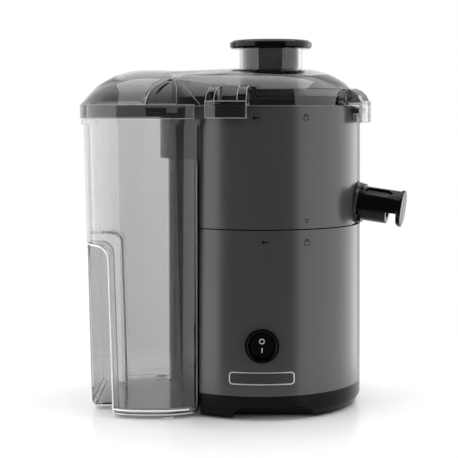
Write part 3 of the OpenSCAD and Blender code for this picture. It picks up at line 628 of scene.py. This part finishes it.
def floor_material():
    """Pale gloss under the machine, which turns plain white away from it and clear to reflections."""
    mat, nodes, links, bsdf = principled("Pale floor")
    bsdf.inputs["Base Color"].default_value = (0.93, 0.93, 0.93, 1)
    bsdf.inputs["Roughness"].default_value = 0.22
    bsdf.inputs["IOR"].default_value = 1.35
    coord = nodes.new("ShaderNodeTexCoord")
    length = nodes.new("ShaderNodeVectorMath")
    length.operation = "LENGTH"
    links.new(coord.outputs["Object"], length.inputs[0])
    far = new_node(nodes, "ShaderNodeMapRange", From_Min=0.12, From_Max=0.30)
    far.interpolation_type = "SMOOTHSTEP"
    links.new(length.outputs["Value"], far.inputs["Value"])
    path = nodes.new("ShaderNodeLightPath")
    level = new_node(nodes, "ShaderNodeMapRange", To_Min=1.0, To_Max=0.6)
    links.new(path.outputs["Is Diffuse Ray"], level.inputs["Value"])
    white = new_node(nodes, "ShaderNodeEmission", Color=(1, 1, 1, 1))
    links.new(level.outputs["Result"], white.inputs["Strength"])
    clear = nodes.new("ShaderNodeBsdfTransparent")
    outside = shader_mix(nodes, links, path.outputs["Is Glossy Ray"], white.outputs[0], clear.outputs[0])
    surface = shader_mix(nodes, links, far.outputs["Result"], bsdf.outputs[0], outside)
    links.new(surface, nodes["Material Output"].inputs["Surface"])
    return mat


def make_floor(scene):
    """Floor that holds the shadow."""
    half = 9
    mesh = bpy.data.meshes.new("floor")
    corners = [(-half, -half, 0), (half, -half, 0), (half, half, 0), (-half, half, 0)]
    mesh.from_pydata(corners, [], [(0, 1, 2, 3)])
    mesh.materials.append(floor_material())
    floor = bpy.data.objects.new("floor", mesh)
    scene.collection.objects.link(floor)


# Long lens in front, beside the machine's axis, at the height of the bowl's rim and tipped down a little.
LENS = 103.2
CAMERA_PLACE = (SHIFT_X - 0.0263, -1.120, RIM_Z)
CAMERA_TIP = 5.35

# Tall side panels give the upright bands on the round body; the top lamp lights the cover.
# Each has its place, its target, its width and height in metres, and its watts.
LAMPS = {
    "lamp_right": ((1.35, 0.15, 0.3), (0, 0.15, 0.3), 3.4, 2.2, 44),
    "lamp_left": ((-1.35, -0.3, 0.3), (0, -0.3, 0.3), 2.0, 2.2, 36),
    "lamp_top": ((0, 0.1, 1.5), (0, 0, 0), 1.4, 1.4, 14),
}


class JUICER_OT_stage(Operator):
    """Floor, white surround, lamps and camera"""
    bl_idname = "juicer.stage"
    bl_label = "Stage"

    def execute(self, context):
        scene = context.scene
        scene.view_settings.view_transform = "Standard"
        make_world(scene)
        make_floor(scene)
        cam = bpy.data.cameras.new("camera")
        cam.lens = LENS
        cam.sensor_width = 36.0
        view = bpy.data.objects.new("camera", cam)
        scene.collection.objects.link(view)
        view.location = CAMERA_PLACE
        view.rotation_euler = (math.radians(90 - CAMERA_TIP), 0, 0)
        scene.camera = view
        for name, settings in LAMPS.items():
            area_lamp(name, *settings)
        return {"FINISHED"}


# ---------------------------------------------------------------- pieces

# Parting groove: its middle, half its height and the depths between which its faces lie.
GROOVE_Z = SPLIT_Z - 0.0004
GROOVE_HALF = 0.0011
GROOVE_DEEP = 0.0035
GROOVE_LEAST = 0.00004

# Container next to the body, where its faces get painted shade: radii of its wall round the recess axis, its
# reach past the body's wall, and the places along X, from the machine's axis, of its corner and of the far
# end of that wall.
INNER_WALL = (0.1395, 0.1435)
INNER_REACH = 0.0062
CORNER_X = -0.066
FLANK_X = -0.0865

# Painted highlights on edges: the container's stay within this distance of the recess axis and below this
# height;
# the cover's lie in front of the first place along Y or right of the second along X, up to a height.
CONTAINER_EDGE_R = 0.139
CONTAINER_EDGE_TOP = 0.232
COVER_EDGE_Y = -0.052
COVER_EDGE_X = 0.06
COVER_EDGE_TOP = RIM_Z + 0.026

# Side arches of the hood: their span along X from the machine's axis and where they start along Y.
ARCH_SPAN = (-0.0945, -0.066)
ARCH_START = 0.0585


def from_axis(place):
    """Distance from the machine's axis."""
    return math.hypot(place.x - SHIFT_X, place.y)


def from_recess(place):
    """Distance from the axis of the recess."""
    return math.hypot(place.x - RECESS_AXIS.x, place.y - RECESS_AXIS.y)


def in_recess(centre, normal):
    """Faces of base and bowl that curve round the pulp container, which get painted shade."""
    return abs(from_recess(centre) - RECESS_R) < 0.0012 and centre.z < LEDGE_Z + 0.001


def in_groove(centre, normal):
    """Faces sunk in the parting groove between base and bowl, which get painted shade."""
    wall = wall_r(centre.z)
    beside_split = abs(centre.z - GROOVE_Z) < GROOVE_HALF
    return beside_split and wall - GROOVE_DEEP < from_axis(centre) < wall - GROOVE_LEAST


def in_plate_field(centre, normal):
    """Faces of the plate inside its bright frame."""
    return from_axis(centre) < wall_r(centre.z) + 0.0004


def beside_body(centre, normal):
    """Faces of the container's corner and wall next to the body, which get painted shade."""
    x = centre.x - SHIFT_X
    if abs(normal.z) >= 0.4 or x <= FLANK_X:
        return False
    in_curve = INNER_WALL[0] < from_recess(centre) < INNER_WALL[1] and centre.z < LEDGE_Z - 0.001
    return x > CORNER_X or from_axis(centre) < BODY_R + INNER_REACH or in_curve


def outer_container_edge(place, normal):
    """Edges of the container's outside, away from the body, below the rim, which get a painted highlight."""
    away = from_recess(place) <= CONTAINER_EDGE_R and from_axis(place) > BODY_R + 0.006
    return away and place.z < CONTAINER_EDGE_TOP


def outer_cover_edge(place, normal):
    """Edges of lugs, skirt and arched recesses on the outside of the cover, which get a painted highlight."""
    in_front_or_right = place.y < COVER_EDGE_Y or place.x > SHIFT_X + COVER_EDGE_X
    return normal.y < 0.5 and in_front_or_right and place.z < COVER_EDGE_TOP


def arch_wall(centre, normal):
    """Walls of the arched recesses at the sides of the hood, which get painted shade."""
    in_span = ARCH_SPAN[0] < centre.x - SHIFT_X < ARCH_SPAN[1]
    return in_span and abs(centre.y) > ARCH_START and centre.z > RIM_Z and abs(normal.x) > 0.12


# Moulded lines on each side arch, as (x, z) from the machine's axis and the feet, in millimetres.
ARCH_CURVE = [
    (-68.5, 273.2), (-66.5, 271.8), (-64, 269), (-61, 265.5), (-58.2, 261.8), (-55.5, 258.1), (-52.3, 254.2),
    (-49.4, 251.2),
]
ARCH_RIB = [(-68.5, 272.6), (-68.5, 266), (-68.5, 259), (-68.5, 252)]
ARCH_FOOT = [(-90.8, 251.8), (-80, 251.8), (-69, 251.8)]


def cover_lines():
    """Moulded lines of the side arches, drawn as thin rods with a painted highlight: upright rib, foot line
    and the curve down to the bowl rim.
    """
    source = bmesh.new()
    source.from_mesh(NODES["cover"].data)
    tree = BVHTree.FromBMesh(source)
    source.free()
    bm = bmesh.new()
    for side in (-1, 1):
        towards_cover = Vector((0, -side, 0))
        for line in (ARCH_CURVE, ARCH_RIB, ARCH_FOOT):
            starts = [Vector((SHIFT_X + x / 1000, side * 0.2, z / 1000 + UP)) for x, z in line]
            hits = [tree.ray_cast(start, towards_cover)[0] for start in starts]
            spots = [hit for hit in hits if hit is not None]
            for one, two in zip(spots, spots[1:]):
                along = (two - one).normalized()
                outward = (along * along.dot(towards_cover) - towards_cover).normalized()
                rod(bm, one, two, outward, 0.00026, 0.0001, 0.0001)
    mesh = finished(bm, "cover_arch_line_highlights", ROD_SMOOTH)
    put("cover_arch_line_highlights", mesh, "lid", "smoke_clear", MATERIALS["smoke_edge_highlight"])


class JUICER_OT_shells(Operator):
    """Base, bowl and other moulded shells, smoothed and finished"""
    bl_idname = "juicer.shells"
    bl_label = "Shells"

    def execute(self, context):
        edge = context.scene.juicer_sizes.edge_round
        # Faces of the recess and of the parting groove get painted shade.
        zones = [(in_recess, MATERIALS["grey_recess_shade"]), (in_groove, MATERIALS["groove"])]
        for node in ("housing", "bowl"):
            smooth_copy(node, zones=zones)
        for node in ("food_pusher", "spout", "switch_bezel", "switch_rocker"):
            smooth_copy(node, 40.0, edge)
        for node in ("plinth", "basket_rim", "basket_hub", "cord_gland", "feet"):
            smooth_copy(node)
        return {"FINISHED"}


class JUICER_OT_clear(Operator):
    """Clear cover and pulp container"""
    bl_idname = "juicer.clear"
    bl_label = "Clear parts"

    def execute(self, context):
        smooth_copy("cover", 30.0, zones=[(arch_wall, MATERIALS["arch_wall_shade"])])
        smooth_copy("pulp_container", 30.0, zones=[(beside_body, MATERIALS["container_shade"])],
                    main=MATERIALS["container_clear"])
        edge_rods("container_edge_highlights", "pulp_container", 30.0, 0.0008, MATERIALS["edge_highlight"],
                  outer_container_edge)
        edge_rods("cover_edge_highlights", "cover", 38.0, 0.00022, MATERIALS["smoke_edge_highlight"], outer_cover_edge)
        cover_lines()
        return {"FINISHED"}


# Outlines of the lock signs, in millimetres round their own middle, drawn with a line of LOCK_LINE.
LOCK_LINE = 0.6
ARROW_UP = [[(-0.5, -2.6), (0.5, -2.6), (0.5, 0.9), (-0.5, 0.9)], [(-1.9, 0.8), (1.9, 0.8), (0, 3.1)]]
ARROW = [[(-y, x) for x, y in shape] for shape in ARROW_UP]
PADLOCK = (strip([(-2, 0.7), (-2, -2.6), (2, -2.6), (2, 0.7), (-2, 0.7)], LOCK_LINE)
           + strip(arc(0, 0.9, 1.4, 0, 180, 10), LOCK_LINE))
POINTER = strip([(-1.8, 1.6), (0, -1.6), (1.8, 1.6), (-1.8, 1.6)], LOCK_LINE)

# Piece, outline, degrees from the front towards the spout, height over the plinth's zero, and body.
LOCK_MARKS = [
    ("mark_bowl_arrow", ARROW, -3.4, 0.2405, "bowl_group"),
    ("mark_bowl_shut", PADLOCK, 24.3, 0.2415, "bowl_group"),
    ("mark_base_arrow", ARROW, 1.5, 0.1425, "base"),
    ("mark_base_shut", PADLOCK, 25.0, 0.142, "base"),
    ("mark_bowl_pointer", POINTER, 25.0, 0.1585, "bowl_group"),
]

# Rocker: its rest tilt, the height and depth of its pivot, and how far its face bends back at its ends.
ROCKER_TILT = math.radians(8)
SWITCH_Z = 0.0593 + UP
PIVOT_Y = 0.003 - wall_r(SWITCH_Z)
FACE_DEPTH = 0.0035
FACE_BEND = 0.0014
ROCKER_HALF = 0.0096


def on_rocker(u, v, lift):
    """Places a flat outline on the two faces of the tilted rocker."""
    y = -FACE_DEPTH - FACE_BEND * abs(v) / ROCKER_HALF - lift
    sine, cosine = math.sin(ROCKER_TILT), math.cos(ROCKER_TILT)
    return Vector((SHIFT_X + u, PIVOT_Y + y * cosine + v * sine, SWITCH_Z - y * sine + v * cosine))


class JUICER_OT_marks(Operator):
    """Lock arrows, padlocks and the pointer on base and bowl, on and off signs on the rocker"""
    bl_idname = "juicer.marks"
    bl_label = "Marks"

    def execute(self, context):
        thick = context.scene.juicer_sizes.mark_depth
        ink = MATERIALS["mark"]
        for name, shapes, angle, z, body in LOCK_MARKS:
            prisms(name, shapes, on_wall(angle, z + UP), thick, body, "grey_plastic", ink)
        off_circle = strip(arc(0, 3.3, 1.85, 0, 360, 32), 0.5)
        on_stroke = [[(-0.27, -5.7), (0.27, -5.7), (0.27, -1.9), (-0.27, -1.9)]]
        ink = MATERIALS["switch_mark"]
        for name, shapes in (("mark_off", off_circle), ("mark_on", on_stroke)):
            prisms(name, shapes, on_rocker, thick, "rocker", "black_gloss", ink)
        return {"FINISHED"}


class JUICER_OT_badge(Operator):
    """Blank plate with a bright frame and a plain field"""
    bl_idname = "juicer.badge"
    bl_label = "Blank plate"

    def execute(self, context):
        smooth_copy("badge_plate", 25.0, zones=[(in_plate_field, MATERIALS["plate_field"])])
        return {"FINISHED"}


# Teeth: radius of the innermost ring, step between rings, and radii of a tooth at its foot and its tip.
FIRST_RING = 0.0105
RING_STEP = 0.0031
TOOTH_FOOT = 0.00085
TOOTH_TIP = 0.00012


def tooth_rings_tree(material):
    """Rings of small pointed teeth, with counts and sizes as named inputs."""
    tree = bpy.data.node_groups.new("Tooth rings", "GeometryNodeTree")
    for label, kind, default in (
            ("Rings", "NodeSocketInt", 9),
            ("Teeth per ring", "NodeSocketInt", 36),
            ("Inner radius", "NodeSocketFloat", FIRST_RING),
            ("Ring step", "NodeSocketFloat", RING_STEP),
            ("Tooth height", "NodeSocketFloat", 0.0019)):
        tree.interface.new_socket(name=label, in_out="INPUT", socket_type=kind).default_value = default
    tree.interface.new_socket(name="Geometry", in_out="OUTPUT", socket_type="NodeSocketGeometry")
    nodes, links = tree.nodes, tree.links
    gin, gout = nodes.new("NodeGroupInput"), nodes.new("NodeGroupOutput")

    def maths(operation, one, two=None):
        node = nodes.new("ShaderNodeMath")
        node.operation = operation
        for slot, value in enumerate((one, two)):
            if value is None:
                continue
            if isinstance(value, (int, float)):
                node.inputs[slot].default_value = value
            else:
                links.new(value, node.inputs[slot])
        return node.outputs[0]

    points = nodes.new("GeometryNodePoints")
    count = maths("MULTIPLY", gin.outputs["Rings"], gin.outputs["Teeth per ring"])
    links.new(count, points.inputs["Count"])
    index = nodes.new("GeometryNodeInputIndex").outputs[0]
    ring = maths("FLOOR", maths("DIVIDE", maths("ADD", index, 0.5), gin.outputs["Teeth per ring"]))
    share = maths("DIVIDE", index, gin.outputs["Teeth per ring"])
    stagger = maths("MULTIPLY", ring, 0.09)
    turn = maths("ADD", maths("MULTIPLY", share, 2 * math.pi), stagger)
    radius = maths("ADD", gin.outputs["Inner radius"], maths("MULTIPLY", ring, gin.outputs["Ring step"]))
    place = nodes.new("ShaderNodeCombineXYZ")
    links.new(maths("MULTIPLY", radius, maths("COSINE", turn)), place.inputs[0])
    links.new(maths("MULTIPLY", radius, maths("SINE", turn)), place.inputs[1])
    links.new(place.outputs[0], points.inputs["Position"])
    tooth = nodes.new("GeometryNodeMeshCone")
    tooth.inputs["Vertices"].default_value = 4
    tooth.inputs["Radius Bottom"].default_value = TOOTH_FOOT
    tooth.inputs["Radius Top"].default_value = TOOTH_TIP
    links.new(gin.outputs["Tooth height"], tooth.inputs["Depth"])
    spin = nodes.new("ShaderNodeCombineXYZ")
    links.new(turn, spin.inputs[2])
    repeat = nodes.new("GeometryNodeInstanceOnPoints")
    links.new(points.outputs[0], repeat.inputs["Points"])
    links.new(tooth.outputs["Mesh"], repeat.inputs["Instance"])
    links.new(spin.outputs[0], repeat.inputs["Rotation"])
    real = nodes.new("GeometryNodeRealizeInstances")
    links.new(repeat.outputs[0], real.inputs[0])
    finish = nodes.new("GeometryNodeSetMaterial")
    finish.inputs["Material"].default_value = material
    links.new(real.outputs[0], finish.inputs["Geometry"])
    links.new(finish.outputs[0], gout.inputs[0])
    return tree


# Pressed grater disc, as (radius, height) from the motor axis and the plinth's zero, in millimetres.
GRATER_PROFILE = [
    (0, 200), (38, 200), (38, 202.2), (37, 202.2), (37, 201), (8.2, 201), (7, 201.6), (6.4, 202.4),
    (5.4, 202.9), (0, 202.9),
]
GRATER_TOP = 0.201 + UP


class JUICER_OT_grater(Operator):
    """Grater disc: pressed sheet and rings of teeth"""
    bl_idname = "juicer.grater"
    bl_label = "Grater disc"

    def execute(self, context):
        sizes = context.scene.juicer_sizes
        sheet = put("grater_sheet", lathe("grater_sheet", [GRATER_PROFILE], 35.0), "basket", "steel")
        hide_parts("grater_disc")
        teeth = bpy.data.objects.new("grater_teeth", bpy.data.meshes.new("grater_teeth"))
        context.scene.collection.objects.link(teeth)
        tree = tooth_rings_tree(MATERIALS["steel"])
        mod = teeth.modifiers.new("teeth", "NODES")
        mod.node_group = tree
        wanted = {
            "Rings": sizes.tooth_rings, "Teeth per ring": sizes.teeth_per_ring, "Inner radius": FIRST_RING,
            "Ring step": RING_STEP, "Tooth height": sizes.tooth_height,
        }
        for item in tree.interface.items_tree:
            if item.in_out == "INPUT":
                mod[item.identifier] = wanted[item.name]
        baked(teeth)
        teeth.data.transform(Matrix.Translation((SHIFT_X, 0, GRATER_TOP)))
        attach(teeth, "basket")
        return {"FINISHED"}


# Sieve cone, the bands pressed round it and its mesh, in millimetres; heights are over the plinth's zero.
SIEVE_LOW, SIEVE_HIGH = 200.0, 255.0
SIEVE_NEAR, SIEVE_WIDE = 40.2, 65.5
SIEVE_BANDS = ((200.0, 205.5), (226.2, 228.8), (250.0, 255.0))
BAND_WALL = 0.8
MESH_LOW, MESH_HIGH = 205.0, 250.2
MESH_INSET = 0.4


def sieve_reach(z):
    """Radius of the sieve's outside at a height."""
    return SIEVE_NEAR + (SIEVE_WIDE - SIEVE_NEAR) * (z - SIEVE_LOW) / (SIEVE_HIGH - SIEVE_LOW)


def sieve_wires(cells, rows, material):
    """Slanting triangular cells on the cone, turned into wires."""
    bm = bmesh.new()
    grid = []
    for j in range(rows + 1):
        z = MESH_LOW + (MESH_HIGH - MESH_LOW) * j / rows
        radius = (sieve_reach(z) - MESH_INSET) / 1000
        grid.append([
            bm.verts.new(round_about(2 * math.pi * (k + 0.5 * (j % 2)) / cells, radius, z / 1000 + UP))
            for k in range(cells)])
    for j in range(rows):
        for k in range(cells):
            n = (k + 1) % cells
            low, low_next, high, high_next = grid[j][k], grid[j][n], grid[j + 1][k], grid[j + 1][n]
            if j % 2 == 0:
                bm.faces.new((low, low_next, high))
                bm.faces.new((low_next, high_next, high))
            else:
                bm.faces.new((low, high_next, high))
                bm.faces.new((low, low_next, high_next))
    mesh = bpy.data.meshes.new("sieve_wires")
    bm.to_mesh(mesh)
    bm.free()
    mesh.materials.append(material)
    wires = bpy.data.objects.new("sieve_wires", mesh)
    bpy.context.scene.collection.objects.link(wires)
    mod = wires.modifiers.new("wires", "WIREFRAME")
    mod.thickness = 0.00045
    mod.use_even_offset = False
    return baked(wires)


class JUICER_OT_sieve(Operator):
    """Conical sieve of fine mesh between pressed bands"""
    bl_idname = "juicer.sieve"
    bl_label = "Sieve"

    def execute(self, context):
        sizes = context.scene.juicer_sizes
        profiles = []
        for z1, z2 in SIEVE_BANDS:
            near, wide = sieve_reach(z1), sieve_reach(z2)
            profiles.append([(near, z1), (wide, z2), (wide - BAND_WALL, z2), (near - BAND_WALL, z1)])
        bands = put("sieve_bands", lathe("sieve_bands", profiles, 40.0), "basket", "steel")
        wires = sieve_wires(sizes.sieve_round, sizes.sieve_rows, MATERIALS["steel"])
        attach(wires, "basket")
        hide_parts("filter_basket")
        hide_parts("filter_basket")
        return {"FINISHED"}


class JUICER_OT_works(Operator):
    """Motor, basket and the other inner pieces that keep their solids"""
    bl_idname = "juicer.works"
    bl_label = "Inner works"

    def execute(self, context):
        for node in NODES:
            dress_node(node)
        bending_spring()
        return {"FINISHED"}


class JUICER_PT_panel(Panel):
    """Sizes, colours and making steps of the juicer"""
    bl_idname = "JUICER_PT_panel"
    bl_label = "Juicer"
    bl_space_type = "VIEW_3D"
    bl_region_type = "UI"
    bl_category = "Juicer"

    def draw(self, context):
        layout = self.layout
        for group in (context.scene.juicer_sizes, context.scene.juicer_colours):
            for key in group.__annotations__:
                layout.prop(group, key)
        for step in STEPS:
            layout.operator(step.bl_idname)


STEPS = (
    JUICER_OT_works, JUICER_OT_stage, JUICER_OT_shells, JUICER_OT_clear, JUICER_OT_marks, JUICER_OT_badge,
    JUICER_OT_grater, JUICER_OT_sieve,
)
CLASSES = (JuicerSizes, JuicerColours) + STEPS + (JUICER_PT_panel,)


def register():
    for cls in CLASSES:
        bpy.utils.register_class(cls)
    bpy.types.Scene.juicer_sizes = PointerProperty(type=JuicerSizes)
    bpy.types.Scene.juicer_colours = PointerProperty(type=JuicerColours)


def unregister():
    del bpy.types.Scene.juicer_colours
    del bpy.types.Scene.juicer_sizes
    for cls in reversed(CLASSES):
        bpy.utils.unregister_class(cls)


def main():
    register()
    MATERIALS.update(make_materials(bpy.context.scene.juicer_colours))
    for step in STEPS:
        group, name = step.bl_idname.split(".")
        getattr(getattr(bpy.ops, group), name)()
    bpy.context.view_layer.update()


if __name__ == "__main__":
    main()
